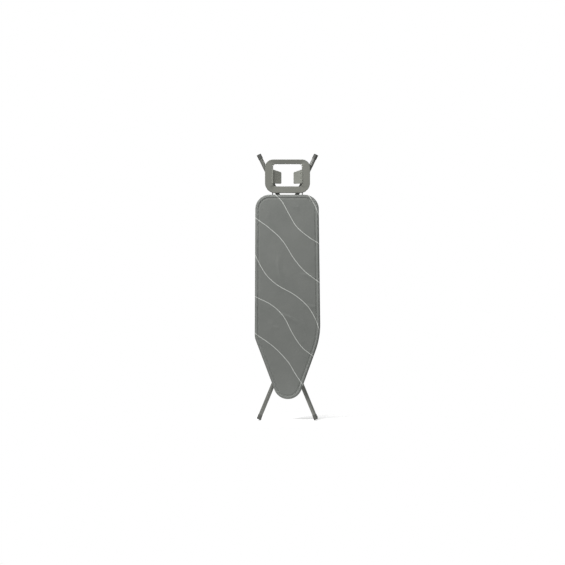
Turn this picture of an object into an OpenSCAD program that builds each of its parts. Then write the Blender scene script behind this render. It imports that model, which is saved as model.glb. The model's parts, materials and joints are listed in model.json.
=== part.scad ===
// Folding ironing board, folded flat and standing on its lower feet.
//
// Frame: +X to the right, +Z up, +Y from the ironing face to the legs. The origin is on the floor, under the
// middle of the bounding box. Most places across the thickness are given as a depth behind the front of the
// cover, which the functions below turn into Y.
//
// The legs are a scissor. The inner pair turns on a pivot near the nose of the deck, the outer pair turns on a
// carriage that slides along two rails near the tail, and the two pairs cross on one bolt. A pawl on the
// carriage drops into a rack to set the height, and a squeeze bar along the deck lifts it.

/* [Board] */
// Depth of the whole folded board, cover to foot caps
total_depth = 68.5; // [68:0.5:72]
// Depth behind the cover of the leg tubes' centre line
leg_depth = 55; // [55:0.5:56]
// Height of the flat tail edge above the floor
tail_z = 1335; // [1330:1:1340]
// Half of the board's full width
half_width = 193.5; // [190:0.5:196]

/* [Deck] */
// Thickness of the cover cloth as a solid
cloth = 1; // [0.8:0.1:1]
// Depth of the back of the padding
pad_back = 9; // [8:0.5:9]
// Thickness of the deck's sheet steel
sheet = 1.2; // [1:0.1:1.4]
// Depth of the back of the deck's edge channel
rim_back = 32.3; // [30:0.1:32.3]
// Width of the edge channel's flanges
rim_flange = 15.5; // [12:0.5:16]
// Width of the cover's turned-in hem
hem_width = 36; // [30:1:36]
// Diameter of the vent holes in the deck
vent_d = 14; // [10:1:16]
// Spacing of the vent holes across the board
vent_pitch = 44; // [40:1:60]

/* [Legs] */
// Diameter of the leg tubes
tube_d = 24; // [22:0.5:24]
// Wall of the leg tubes
tube_wall = 1.2; // [1:0.1:1.5]
// Middle of each inner tube from the centre line
inner_x = 12.5; // [12.5:0.25:12.75]
// Middle of each outer tube from the centre line
outer_x = 46; // [46:0.5:46.5]
// Centre-line radius of the bend in each tube
bend_r = 45; // [40:1:60]
// Splay of the upper feet from the centre line
upper_splay = 25.6; // [24:0.1:27]
// Splay of the lower feet from the centre line
lower_splay = 22.4; // [21:0.1:24]
// Middle of each upper foot's end face from the centre line
upper_foot_x = 170.5; // [164:0.5:174]
// Middle of each lower foot's end face from the centre line
lower_foot_x = 170.5; // [165:0.5:176]
// Height of the upper feet's end faces
upper_foot_z = 1576; // [1566:1:1586]
// Diameter of the rubber foot caps
cap_d = 27; // [25:0.5:27]
// Length of the foot caps
cap_length = 30; // [26:1:40]

/* [Scissor] */
// Height of the inner legs' pivot on the deck
pivot_z = 329; // [325:1:333]
// Distance from that pivot to the crossing bolt, and from the bolt to the carriage
half_link = 459; // [457:1:460]
// Number of working heights in the rack
rack_steps = 8; // [5:1:8]
// Spacing of the rack's slots
rack_pitch = 23; // [21:1:23]

/* [Iron rest] */
// Height of the rest's top edge
rest_top = 1543; // [1540:1:1546]
// Height of the rest's bottom edge
rest_bottom = 1345.5; // [1343:0.5:1347]
// Half of the rest's width
rest_half = 133; // [130:1:136]
// Diameter of the two support rods
rod_d = 6; // [5:0.5:6]
// Middle of each support rod from the centre line
rod_x = 88; // [87.5:0.5:88.5]

/* [Hidden] */

$fn = 48;
tiny = 0.01;
run = 0.05;         // radial clearance of a pin that turns in its bore
cloth_colour = [0.47, 0.48, 0.46];
pad_colour = [0.86, 0.85, 0.80];
paint_colour = [0.44, 0.44, 0.41];
zinc_colour = [0.70, 0.71, 0.72];
rest_colour = [0.50, 0.51, 0.47];
rubber_colour = [0.33, 0.33, 0.32];

panel_back = pad_back + sheet;
tube_r = tube_d / 2;
bore_r = tube_r - tube_wall;
cap_r = cap_d / 2;
cap_chamfer = 2;
foot_r = cap_r - cap_chamfer;
rod_r = rod_d / 2;

// Heights of the leg parts
cross_z = pivot_z + half_link;
slide_z = pivot_z + 2 * half_link;
lower_foot_z = foot_r * sin(lower_splay);
upper_bend_z = upper_foot_z - (upper_foot_x - inner_x) / tan(upper_splay);
lower_bend_z = lower_foot_z + (lower_foot_x - outer_x) / tan(lower_splay);
upper_length = (upper_foot_x - inner_x) / sin(upper_splay);
lower_length = (lower_foot_x - outer_x) / sin(lower_splay);
inner_end_z = pivot_z - 14;
outer_end_z = slide_z + 14;
upper_bar_z = 1366;
lower_bar_z = 250;
crossbar_r = 8;

// Places of the pins and moving parts, as depth behind the cover
pawl_depth = 27;
bar_depth = 38;
bar_x = 28.5;
rod_depth = 36.8;
pivot_pin_r = 5;
bolt_r = 4;
slide_pin_r = 4;
pawl_pin_r = 1.5;
brace_back = 26;
rail_back = 30;
carriage_front = 22;
carriage_back = 24.5;
side_x = 58.5;
side_t = 2.5;

// Corner circles [x, z, radius] whose stretched outline is the deck: the left shoulder is crisp, the right is long
deck_circles = [[half_width - 460, 570, 460], [100, tail_z - 85, 85], [-105, tail_z - 85, 85],
    [95 - half_width, 508, 95], [2.5, 213, 85]];
rest_circles = [[rest_half - 59, rest_bottom + 59, 59], [rest_half - 47, rest_top - 47, 47],
    [47 - rest_half, rest_top - 47, 47], [59 - rest_half, rest_bottom + 59, 59]];
rest_bottom_bar = 39;
rest_top_bar = 26.5;
opening_half = 85;
opening_r = 14;
opening_low = rest_bottom + rest_bottom_bar;
opening_high = rest_top - rest_top_bar;
opening_circles = [[opening_half - opening_r, opening_low + opening_r, opening_r],
    [opening_half - opening_r, opening_high - opening_r, opening_r],
    [opening_r - opening_half, opening_high - opening_r, opening_r],
    [opening_r - opening_half, opening_low + opening_r, opening_r]];
rest_front = 4;
rest_back = 28;
rest_wall = 2.5;

function y_at(depth) = depth - total_depth / 2;

// Direction of the outward normal of the line that touches circles a and b, walking anticlockwise
function normal_angle(a, b) =
    let (d = [b[0] - a[0], b[1] - a[1]]) atan2(d[1], d[0]) - acos((a[2] - b[2]) / norm(d));

function arc(x, z, r, from, span, steps) =
    [for (i = [0:steps]) let (a = from + span * i / steps) [x + r * cos(a), z + r * sin(a)]];

// Outline that a string would follow round the circles, moved inwards by inset
function stretched(circles, inset) = let (n = len(circles)) [for (i = [0:n - 1])
    let (c = circles[i], r = c[2] - inset,
        from = normal_angle(circles[(i + n - 1) % n], c),
        span = (normal_angle(c, circles[(i + 1) % n]) - from + 720) % 360)
    each arc(c[0], c[1], r, from, span, max(3, ceil(span * c[2] / 620)))];

function cross2(a, b) = a[0] * b[1] - a[1] * b[0];

// Whether a point lies inside an anticlockwise convex outline
function inside(p, points) = min([for (i = [0:len(points) - 1])
    let (a = points[i], b = points[(i + 1) % len(points)]) cross2(b - a, p - a)]) > 0;

// A tongue that stands on its base line and ends in a round of radius r at height h
function tongue(half_base, h, r) = concat([[half_base, 0]], arc(0, h, r, 0, 180, 16), [[-half_base, 0]]);

// Flat outline in X and Z, between two depths
module plate(points, t0, t1) {
    translate([0, y_at(t1), 0]) rotate([90, 0, 0]) linear_extrude(t1 - t0) polygon(points);
}

module deck_slab(inset, t0, t1) { plate(stretched(deck_circles, inset), t0, t1); }

module block(x0, x1, t0, t1, z0, z1) {
    translate([x0, y_at(t0), z0]) cube([x1 - x0, t1 - t0, z1 - z0]);
}

module x_rod(x0, x1, t, z, r) {
    translate([x0, y_at(t), z]) rotate([0, 90, 0]) cylinder(h = x1 - x0, r = r);
}

module y_rod(x, t0, t1, z, r) {
    translate([x, y_at(t1), z]) rotate([90, 0, 0]) cylinder(h = t1 - t0, r = r);
}

module z_rod(x, t, z0, z1, r) { translate([x, y_at(t), z0]) cylinder(h = z1 - z0, r = r); }

// Outline in depth and Z, between two X
module side_profile(x0, x1, points) {
    translate([x0, y_at(0), 0]) rotate([90, 0, 90]) linear_extrude(x1 - x0) polygon(points);
}

// Outline in X and depth, between two Z
module plan_profile(z0, z1, points) {
    translate([0, y_at(0), z0]) linear_extrude(z1 - z0) polygon(points);
}

// The left twin of a part made on the right
module left() { mirror([1, 0, 0]) children(); }

module both_sides() { children(); left() children(); }

// ---- Deck ----

module cover() {
    color(cloth_colour) difference() {
        deck_slab(0, 0, rim_back + 0.2 + cloth);
        deck_slab(cloth, cloth, rim_back + 0.2);
        deck_slab(hem_width, rim_back - 1, rim_back + 2);
    }
}

module pad() {
    color(pad_colour) deck_slab(cloth + 0.3, cloth + 0.1, pad_back);
}

module deck_panel() {
    row_pitch = vent_pitch * sin(60);
    limit = stretched(deck_circles, 32);
    color(zinc_colour) difference() {
        deck_slab(4, pad_back, panel_back);
        for (row = [0:30], column = [-4:4]) {
            spot = [(column + (row % 2) / 2) * vent_pitch, 165 + row * row_pitch];
            if (inside(spot, limit))
                y_rod(spot[0], pad_back - 1, panel_back + 1, spot[1], vent_d / 2);
        }
    }
}

module deck_rim() {
    outer = cloth + 0.5;
    color(zinc_colour) difference() {
        deck_slab(outer, panel_back, rim_back);
        deck_slab(outer + sheet, panel_back + sheet, rim_back - sheet);
        deck_slab(outer + rim_flange, panel_back - 1, rim_back + 1);
    }
}

// Top-hat channel across the deck, from rim to rim
module brace(z0, z1, back) {
    foot = 8;
    draw = 3;
    color(zinc_colour) intersection() {
        deck_slab(cloth + 0.5 + rim_flange, panel_back, back);
        side_profile(-half_width, half_width, [
            [panel_back, z0], [panel_back + sheet, z0], [panel_back + sheet, z0 + foot],
            [back, z0 + foot + draw], [back, z1 - foot - draw], [panel_back + sheet, z1 - foot],
            [panel_back + sheet, z1], [panel_back, z1], [panel_back, z1 - foot - sheet],
            [back - sheet, z1 - foot - draw - sheet], [back - sheet, z0 + foot + draw + sheet],
            [panel_back, z0 + foot + sheet]]);
    }
}

module nose_brace() { brace(296, 362, brace_back); }
module mid_brace() { brace(578, 622, brace_back); }
module rail_brace() { brace(878, 914, brace_back); }
module tail_brace() { brace(1280, 1312, 20); }

// Channel that a glide shoe runs in, open towards the middle
module rail_right() {
    lip = 62;
    web = 79.2;
    color(zinc_colour) plan_profile(925, 1272, [[lip, panel_back], [web, panel_back], [web, rail_back],
        [lip, rail_back], [lip, rail_back - sheet], [web - sheet, rail_back - sheet],
        [web - sheet, panel_back + sheet], [lip, panel_back + sheet]]);
}

module rail_left() { left() rail_right(); }

module height_rack() {
    first_slot = pivot_z + 2 * half_link * cos(47) - 20;
    color(zinc_colour) difference() {
        block(3, 18, panel_back, panel_back + 2, 926, 1272);
        for (step = [0:rack_steps - 1])
            block(6.5, 14.5, panel_back - 1, panel_back + 3,
                first_slot - 4 + step * rack_pitch, first_slot + 4 + step * rack_pitch);
        for (z = [932, 1180, 1262]) y_rod(10.5, panel_back - 1, panel_back + 3, z, 2.1);
    }
}

ear_x = 25.8;
ear_t = 2.5;

module leg_pivot_bracket() {
    floor_t = brace_back + ear_t;
    ear = [for (p = tongue(20, leg_depth - brace_back, 9.5)) [p[1] + brace_back, p[0] + pivot_z]];
    color(zinc_colour) difference() {
        union() {
            block(-ear_x - ear_t, ear_x + ear_t, brace_back, floor_t, pivot_z - 20, pivot_z + 20);
            both_sides() side_profile(ear_x, ear_x + ear_t, ear);
        }
        x_rod(-40, 40, leg_depth, pivot_z, pivot_pin_r + run);
        for (x = [-15, 15]) y_rod(x, brace_back - 1, floor_t + 1, pivot_z, 2.6);
    }
}

module leg_pivot_pin() {
    grip = ear_x + ear_t;
    color(zinc_colour) {
        x_rod(-grip - 2.4, grip + 2.4, leg_depth, pivot_z, pivot_pin_r);
        both_sides() difference() {
            x_rod(grip + 0.1, grip + 2.2, leg_depth, pivot_z, 8);
            x_rod(grip, grip + 3, leg_depth, pivot_z, pivot_pin_r - tiny);
        }
    }
}

module washer(x0, x1, t, z, r_out, r_in) {
    difference() {
        x_rod(x0, x1, t, z, r_out);
        x_rod(x0 - 1, x1 + 1, t, z, r_in);
    }
}

module pivot_washers() {
    color(zinc_colour) both_sides()
        washer(inner_x + tube_r + 0.2, ear_x - 0.1, leg_depth, pivot_z, 9, pivot_pin_r + run);
}

// Guide for one support rod, welded to a fin that stands on the deck
module rest_sleeve_right() {
    color(zinc_colour) difference() {
        union() {
            z_rod(rod_x, rod_depth, 1180, 1297, 5);
            block(rod_x - 1, rod_x + 1, panel_back, rod_depth - 3.5, 1190, 1270);
        }
        z_rod(rod_x, rod_depth, 1170, 1310, rod_r + 0.1);
    }
}

module rest_sleeve_left() { left() rest_sleeve_right(); }

// Upright plate that carries the release bar
module bar_bracket(z0) {
    upright = [for (p = tongue(10, bar_depth - panel_back, 4)) [p[0] + bar_x, p[1] + panel_back]];
    color(zinc_colour) difference() {
        plan_profile(z0, z0 + 4, upright);
        z_rod(bar_x, bar_depth, z0 - 1, z0 + 5, rod_r + 0.06);
    }
}

module bar_bracket_nose() { bar_bracket(918); }
module bar_bracket_tail() { bar_bracket(1273); }

// Torsion spring round the release bar: a tang, five turns and another tang
module bar_spring() {
    wire_r = 0.6;
    coil_r = 4;
    turns = 5;
    z0 = 1278;
    z1 = 1286;
    steps = turns * 14;
    tang = 7;
    sides = 6;
    coil = [for (i = [0:steps]) let (a = 360 * turns * i / steps)
        [coil_r * cos(a), coil_r * sin(a), z0 + (z1 - z0) * i / steps]];
    path = concat([[coil_r, -tang, z0]], coil, [[coil_r, tang / 2, z1]]);
    n = len(path);
    rings = [for (i = [0:n - 1])
        let (ahead = path[min(i + 1, n - 1)] - path[max(i - 1, 0)], t = ahead / norm(ahead),
            side = cross([0, 0, 1], t) / norm(cross([0, 0, 1], t)), up = cross(t, side))
        [for (k = [0:sides - 1]) let (a = 360 * k / sides)
            path[i] + wire_r * (cos(a) * side + sin(a) * up)]];
    points = [for (ring = rings) each ring];
    walls = [for (i = [0:n - 2], k = [0:sides - 1]) let (j = (k + 1) % sides)
        [i * sides + k, (i + 1) * sides + k, (i + 1) * sides + j, i * sides + j]];
    ends = [[for (k = [0:sides - 1]) k], [for (k = [sides - 1:-1:0]) (n - 1) * sides + k]];
    color(zinc_colour) translate([bar_x, y_at(bar_depth), 0]) polyhedron(points, concat(walls, ends));
}

// Spring clips that hold the outer tubes when the legs are folded
module leg_clips() {
    inner = outer_x - tube_r - 0.3;
    outer = outer_x + tube_r + 0.3;
    wall = 1.7;
    color(zinc_colour) both_sides() difference() {
        block(inner - wall, outer + wall, brace_back, leg_depth + 4, 592, 608);
        block(inner, outer, brace_back + wall, leg_depth + 5, 591, 609);
        y_rod(outer_x, brace_back - 1, brace_back + 3, 600, 2.1);
    }
}

module panel_rivets() {
    spots = [for (z = [300, 358, 582, 618, 882, 910, 1284, 1308], x = [-100, -60, 60, 100])
        if (abs(x) < 90 || z > 400) [x, z]];
    color(zinc_colour) for (spot = spots)
        y_rod(spot[0], panel_back + sheet, panel_back + sheet + 1.4, spot[1], 3);
}

// ---- Legs ----

// Rod that runs straight along Z to a bend at the origin and then splays towards +X. The bend is drawn in by a
// hair, as a bent tube is, and laps into both straights.
module bent_rod(r, straight, splayed, splay) {
    setback = bend_r * tan(splay / 2);
    drawn_in = 0.05;
    lap = 1.2;
    translate([0, 0, -straight]) cylinder(h = straight - setback, r = r);
    translate([bend_r, 0, -setback]) rotate([90, 0, 0]) rotate([0, 0, 180 - splay - lap])
        rotate_extrude(angle = splay + 2 * lap) translate([bend_r, 0]) circle(r - drawn_in);
    translate([setback * sin(splay), 0, setback * cos(splay)]) rotate([0, splay, 0])
        cylinder(h = splayed - setback, r = r);
}

// Puts a leg's own frame, with the bend at its origin, where the right inner or outer tube bends
module inner_place() { translate([inner_x, y_at(leg_depth), upper_bend_z]) children(); }
module outer_place() { translate([outer_x, y_at(leg_depth), lower_bend_z]) mirror([0, 0, 1]) children(); }

module bent_tube(straight, splayed, splay) {
    difference() {
        bent_rod(tube_r, straight, splayed, splay);
        bent_rod(bore_r, straight + 1, splayed + 1, splay);
    }
}

module inner_leg_right() {
    color(paint_colour) difference() {
        inner_place() bent_tube(upper_bend_z - inner_end_z, upper_length - 3.5, upper_splay);
        x_rod(0, 30, leg_depth, pivot_z, pivot_pin_r + run);
        x_rod(0, 30, leg_depth, cross_z, bolt_r + run);
    }
}

module inner_leg_left() { left() inner_leg_right(); }

module outer_leg_right() {
    color(paint_colour) difference() {
        outer_place() bent_tube(outer_end_z - lower_bend_z, lower_length - 3.5, lower_splay);
        x_rod(30, 60, leg_depth, slide_z, slide_pin_r + run);
        x_rod(30, 60, leg_depth, cross_z, bolt_r + run);
    }
}

module outer_leg_left() { left() outer_leg_right(); }

// Solid rod where a splayed tube runs, to cut a crossbar's ends to its curve
module splayed_rod(r, length, splay) { rotate([0, splay, 0]) cylinder(h = length, r = r); }

module inner_leg_crossbar() {
    half = inner_x + (upper_bar_z - upper_bend_z) * tan(upper_splay);
    color(paint_colour) difference() {
        x_rod(-half, half, leg_depth, upper_bar_z, crossbar_r);
        x_rod(-half - 1, half + 1, leg_depth, upper_bar_z, crossbar_r - 1);
        both_sides() inner_place() splayed_rod(tube_r, upper_length, upper_splay);
    }
}

module outer_leg_crossbar() {
    half = outer_x + (lower_bend_z - lower_bar_z) * tan(lower_splay);
    color(paint_colour) difference() {
        x_rod(-half, half, leg_depth, lower_bar_z, crossbar_r);
        x_rod(-half - 1, half + 1, leg_depth, lower_bar_z, crossbar_r - 1);
        both_sides() outer_place() splayed_rod(tube_r, lower_length, lower_splay);
    }
}

// Saddle plates that tie the two inner tubes together
module inner_leg_straps() {
    color(paint_colour) for (z = [430, 1120]) difference() {
        block(-19, 19, leg_depth + 5, leg_depth + tube_r + 1.5, z, z + 26);
        for (x = [-inner_x, inner_x]) z_rod(x, leg_depth, z - 1, z + 27, tube_r);
    }
}

// Rubber cap, made along the splayed tube with its end face at the given length
module foot_cap(length, splay) {
    rotate([0, splay, 0]) rotate_extrude() polygon([
        [tube_r + run, length - cap_length], [tube_r + 1.2, length - cap_length],
        [cap_r, length - cap_length + 4], [cap_r, length - cap_chamfer], [foot_r, length], [0, length],
        [0, length - 3.5], [tube_r + run, length - 3.5]]);
}

module upper_foot_right() { color(rubber_colour) inner_place() foot_cap(upper_length, upper_splay); }
module upper_foot_left() { left() upper_foot_right(); }
module lower_foot_right() { color(rubber_colour) outer_place() foot_cap(lower_length, lower_splay); }
module lower_foot_left() { left() lower_foot_right(); }

// Plug for a tube's plain end at z, pushed in along the given direction
module tube_plug(x, z, direction) {
    translate([x, y_at(leg_depth), z]) mirror([0, 0, direction < 0 ? 1 : 0]) {
        translate([0, 0, -2]) cylinder(h = 2, r = tube_r);
        translate([0, 0, -tiny]) cylinder(h = 7, r = bore_r - run);
    }
}

module inner_leg_plugs() {
    color(rubber_colour) for (x = [-inner_x, inner_x]) tube_plug(x, inner_end_z, 1);
}

module outer_leg_plugs() {
    color(rubber_colour) for (x = [-outer_x, outer_x]) tube_plug(x, outer_end_z, -1);
}

bolt_end = outer_x + tube_r + 0.3;

module scissor_bolt() {
    color(zinc_colour) {
        x_rod(-bolt_end - 8, bolt_end + tiny, leg_depth, cross_z, bolt_r);
        translate([bolt_end, y_at(leg_depth), cross_z]) rotate([0, 90, 0]) cylinder(h = 5, r = 7.5, $fn = 6);
    }
}

module scissor_nut() {
    color(zinc_colour) difference() {
        translate([-bolt_end - 6.5, y_at(leg_depth), cross_z]) rotate([0, 90, 0])
            cylinder(h = 6.5, r = 7.5, $fn = 6);
        x_rod(-bolt_end - 8, -bolt_end + 1, leg_depth, cross_z, bolt_r);
    }
}

module scissor_spacers() {
    color(zinc_colour) {
        both_sides() washer(inner_x + tube_r, outer_x - tube_r - 0.3, leg_depth, cross_z, 7, bolt_r);
        washer(tube_r + run - inner_x, inner_x - tube_r - run, leg_depth, cross_z, 7, bolt_r);
    }
}

// ---- Carriage, pawl and release bar ----

pawl_x0 = 8;
pawl_x1 = 13;

module carriage_bridge() {
    gap = 0.8;
    ear = 2.5;
    ear_profile = [for (p = tongue(5, pawl_depth - carriage_back, 3)) [p[1] + carriage_back, p[0] + slide_z]];
    color(zinc_colour) difference() {
        union() {
            block(-side_x, side_x, carriage_front, carriage_back, slide_z - 18, slide_z + 10);
            for (x = [pawl_x0 - gap - ear, pawl_x1 + gap])
                side_profile(x, x + ear, ear_profile);
        }
        block(pawl_x0 - gap, pawl_x1 + gap, carriage_front - 1, pawl_depth, slide_z - 19, slide_z + 4.5);
        x_rod(0, 20, pawl_depth, slide_z, pawl_pin_r);
    }
}

module carriage_side_right() {
    low = 13;
    upright = [for (p = tongue(11, leg_depth - low, 8.5)) [p[1] + low, p[0] + slide_z]];
    color(zinc_colour) difference() {
        side_profile(side_x, side_x + side_t, upright);
        x_rod(50, 70, leg_depth, slide_z, slide_pin_r);
    }
}

module carriage_side_left() { left() carriage_side_right(); }

module carriage_pins() {
    color(zinc_colour) both_sides() {
        x_rod(31.5, side_x + side_t + tiny, leg_depth, slide_z, slide_pin_r);
        x_rod(side_x + side_t, side_x + side_t + 2, leg_depth, slide_z, 6.5);
    }
}

module pin_clips() {
    color(zinc_colour) both_sides() washer(32.3, 33.5, leg_depth, slide_z, 6, slide_pin_r);
}

module glide_shoe_right() {
    front = panel_back + sheet + 0.4;
    back = rail_back - sheet - 0.4;
    chamfer = 2;
    color([0.12, 0.12, 0.12]) side_profile(side_x + side_t, 77.7, [
        [front, slide_z - 18 + chamfer], [front + chamfer, slide_z - 18], [back - chamfer, slide_z - 18],
        [back, slide_z - 18 + chamfer], [back, slide_z + 18 - chamfer], [back - chamfer, slide_z + 18],
        [front + chamfer, slide_z + 18], [front, slide_z + 18 - chamfer]]);
}

module glide_shoe_left() { left() glide_shoe_right(); }

module pawl_pin() {
    color(zinc_colour) x_rod(pawl_x0 - 3.8, pawl_x1 + 3.8, pawl_depth, slide_z, pawl_pin_r);
}

module height_pawl() {
    tip = panel_back + 2.5;
    color(zinc_colour) difference() {
        union() {
            x_rod(pawl_x0, pawl_x1, pawl_depth, slide_z, 3.2);
            side_profile(pawl_x0, pawl_x1, [[tip, slide_z - 21.5], [tip + 1.3, slide_z - 18.7],
                [24.9, slide_z - 17], [24.9, slide_z], [29.2, slide_z], [28.4, slide_z - 20.5],
                [27.5, slide_z - 22]]);
            side_profile(pawl_x0, pawl_x1, [[27.3, slide_z], [27.3, slide_z + 22], [35.5, slide_z + 22],
                [35.5, slide_z + 18.5], [30, slide_z + 15], [30, slide_z]]);
        }
        x_rod(pawl_x0 - 1, pawl_x1 + 1, pawl_depth, slide_z, pawl_pin_r + run);
    }
}

module release_bar() {
    color(paint_colour) z_rod(bar_x, bar_depth, 914, 1326, rod_r);
}

module release_flap() {
    color(paint_colour) difference() {
        block(4, bar_x, bar_depth - 2, bar_depth - 0.5, 932, 1271);
        z_rod(bar_x, bar_depth, 930, 1273, rod_r);
    }
}

module release_handle() {
    hub = arc(bar_x, bar_depth, 4.2, -150, 240, 16);
    color(rubber_colour) difference() {
        plan_profile(1288, 1322, concat(hub, [[19, 41.8], [12, 47.5], [-14.5, 47.5], [-16, 46], [-16, 42.5],
            [10.5, 42.5], [17, 36]]));
        z_rod(bar_x, bar_depth, 1287, 1323, rod_r);
    }
}

// ---- Iron rest ----

boss_x = 96;

module rest_frame() {
    color(rest_colour) difference() {
        union() {
            difference() {
                plate(stretched(rest_circles, 0), rest_front, rest_back);
                difference() {
                    plate(stretched(rest_circles, rest_wall), rest_front + rest_wall, rest_back + 1);
                    plate(stretched(opening_circles, -rest_wall), rest_front, rest_back + 2);
                }
            }
            both_sides() {
                block(rod_x - 7, rod_x + 7, rest_front + 1, rod_depth + 5.5, 1351, 1383);
                for (z = [1420, 1468]) y_rod(boss_x, rest_front + 1, rest_back, z, 4.5);
            }
        }
        plate(stretched(opening_circles, 0), rest_front - 1, rest_back + 1);
        both_sides() {
            z_rod(rod_x, rod_depth, 1350, 1380, rod_r);
            for (z = [1420, 1468]) y_rod(boss_x, 14, rest_back + 1, z, 1.6);
        }
    }
}

// Wing that the iron's sole leans on: it slopes back from the opening's edge and hooks behind the frame
module rest_wing_right() {
    free_edge = 36.4;
    low = 1400.6;
    color(rest_colour) difference() {
        intersection() {
            plan_profile(low, 1484, [[102, rest_back], [102, rest_back + 2], [82.5, rest_back + 2],
                [82.5, 13.6], [77, 17.6], [free_edge, 29.6], [free_edge - 0.7, 27.2], [76, 15.1], [84, 9.2],
                [opening_half, 8.4], [opening_half, rest_back]]);
            plate(concat([[free_edge - 1, low + 5], [free_edge + 4, low], [103, low], [103, 1484],
                [opening_half, 1484]], [[free_edge + 5, 1469], [free_edge - 1, 1463]]), 0, 40);
        }
        for (z = [1420, 1468]) y_rod(boss_x, rest_back - 1, rest_back + 3, z, 2.1);
    }
}

module rest_wing_left() { left() rest_wing_right(); }

module rest_rod_right() {
    color(zinc_colour) z_rod(rod_x, rod_depth, 1170, 1380, rod_r);
}

module rest_rod_left() { left() rest_rod_right(); }

module rest_screws() {
    color(zinc_colour) both_sides() for (z = [1420, 1468]) {
        y_rod(boss_x, 16, rest_back + 2 + tiny, z, 1.6);
        y_rod(boss_x, rest_back + 2, rest_back + 4, z, 3.8);
    }
}

cover();
pad();
deck_panel();
deck_rim();
nose_brace();
mid_brace();
rail_brace();
tail_brace();
rail_left();
rail_right();
height_rack();
leg_pivot_bracket();
leg_pivot_pin();
pivot_washers();
rest_sleeve_left();
rest_sleeve_right();
bar_bracket_nose();
bar_bracket_tail();
bar_spring();
leg_clips();
panel_rivets();
inner_leg_left();
inner_leg_right();
inner_leg_crossbar();
inner_leg_straps();
upper_foot_left();
upper_foot_right();
inner_leg_plugs();
scissor_bolt();
scissor_nut();
scissor_spacers();
outer_leg_left();
outer_leg_right();
outer_leg_crossbar();
lower_foot_left();
lower_foot_right();
outer_leg_plugs();
carriage_bridge();
carriage_side_left();
carriage_side_right();
carriage_pins();
pin_clips();
glide_shoe_left();
glide_shoe_right();
pawl_pin();
height_pawl();
release_bar();
release_flap();
release_handle();
rest_frame();
rest_wing_left();
rest_wing_right();
rest_rod_left();
rest_rod_right();
rest_screws();
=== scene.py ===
"""Looks of a folding ironing board: cloth cover, felt, expanded deck, moulded iron rest and rubber feet.

x runs across the board, y from its ironing face to its legs, and z up. An inset is measured inwards from an
outline and a depth backwards from the cover's front face, both in millimetres."""

import json
import math
from contextlib import contextmanager

import bmesh
import bpy
import numpy as np
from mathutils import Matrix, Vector
from mathutils.geometry import delaunay_2d_cdt


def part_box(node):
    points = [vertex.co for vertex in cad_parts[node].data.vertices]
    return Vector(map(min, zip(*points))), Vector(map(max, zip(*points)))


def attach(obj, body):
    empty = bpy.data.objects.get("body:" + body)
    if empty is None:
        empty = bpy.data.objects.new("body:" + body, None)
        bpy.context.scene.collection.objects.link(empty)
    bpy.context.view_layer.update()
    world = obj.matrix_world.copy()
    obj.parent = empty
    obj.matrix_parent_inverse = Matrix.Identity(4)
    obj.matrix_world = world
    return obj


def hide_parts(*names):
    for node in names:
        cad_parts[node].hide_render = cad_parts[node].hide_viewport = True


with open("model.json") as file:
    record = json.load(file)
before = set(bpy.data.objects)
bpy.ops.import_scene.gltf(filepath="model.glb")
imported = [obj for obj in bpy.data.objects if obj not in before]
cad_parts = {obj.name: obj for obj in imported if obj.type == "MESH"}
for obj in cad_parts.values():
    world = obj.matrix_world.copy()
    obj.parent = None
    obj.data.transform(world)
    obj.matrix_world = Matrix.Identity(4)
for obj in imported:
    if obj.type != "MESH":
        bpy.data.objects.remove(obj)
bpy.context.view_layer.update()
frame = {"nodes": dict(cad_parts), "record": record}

MM = 0.001
TURN = 2 * math.pi
SIDES = ((1, "right"), (-1, "left"))

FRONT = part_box("cover")[0].y          # y of the cover's front face
HALF_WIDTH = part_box("cover")[1].x
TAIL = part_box("cover")[1].z
REST_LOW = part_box("rest_frame")[0].z
REST_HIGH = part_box("rest_frame")[1].z
REST_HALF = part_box("rest_frame")[1].x

# Corner circles (x, z, radius) of the deck's outline, in metres
DECK = [
    (HALF_WIDTH - 0.460, 0.570, 0.460),
    (0.100, TAIL - 0.085, 0.085),
    (-0.105, TAIL - 0.085, 0.085),
    (0.095 - HALF_WIDTH, 0.508, 0.095),
    (0.0025, 0.213, 0.085),
]

# The iron rest's opening, and the corner radii of its outside and its opening, in metres
OPENING_LOW = REST_LOW + 0.039
OPENING_HIGH = REST_HIGH - 0.0265
OPENING_HALF = 0.085
OPENING_RADIUS = 0.014
REST_LOW_RADIUS = 0.059
REST_HIGH_RADIUS = 0.047


# ---- Outlines --------------------------------------------------------------------------------------


def corner_circles(half, low, high, low_radius, high_radius):
    """Four corner circles of a rounded frame, anticlockwise from the lower right."""
    return [
        (half - low_radius, low + low_radius, low_radius),
        (half - high_radius, high - high_radius, high_radius),
        (high_radius - half, high - high_radius, high_radius),
        (low_radius - half, low + low_radius, low_radius),
    ]


def normal_angle(a, b):
    """Direction of the outward normal of the line that touches both circles."""
    dx, dz = b[0] - a[0], b[1] - a[1]
    return math.atan2(dz, dx) - math.acos((a[2] - b[2]) / math.hypot(dx, dz))


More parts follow.
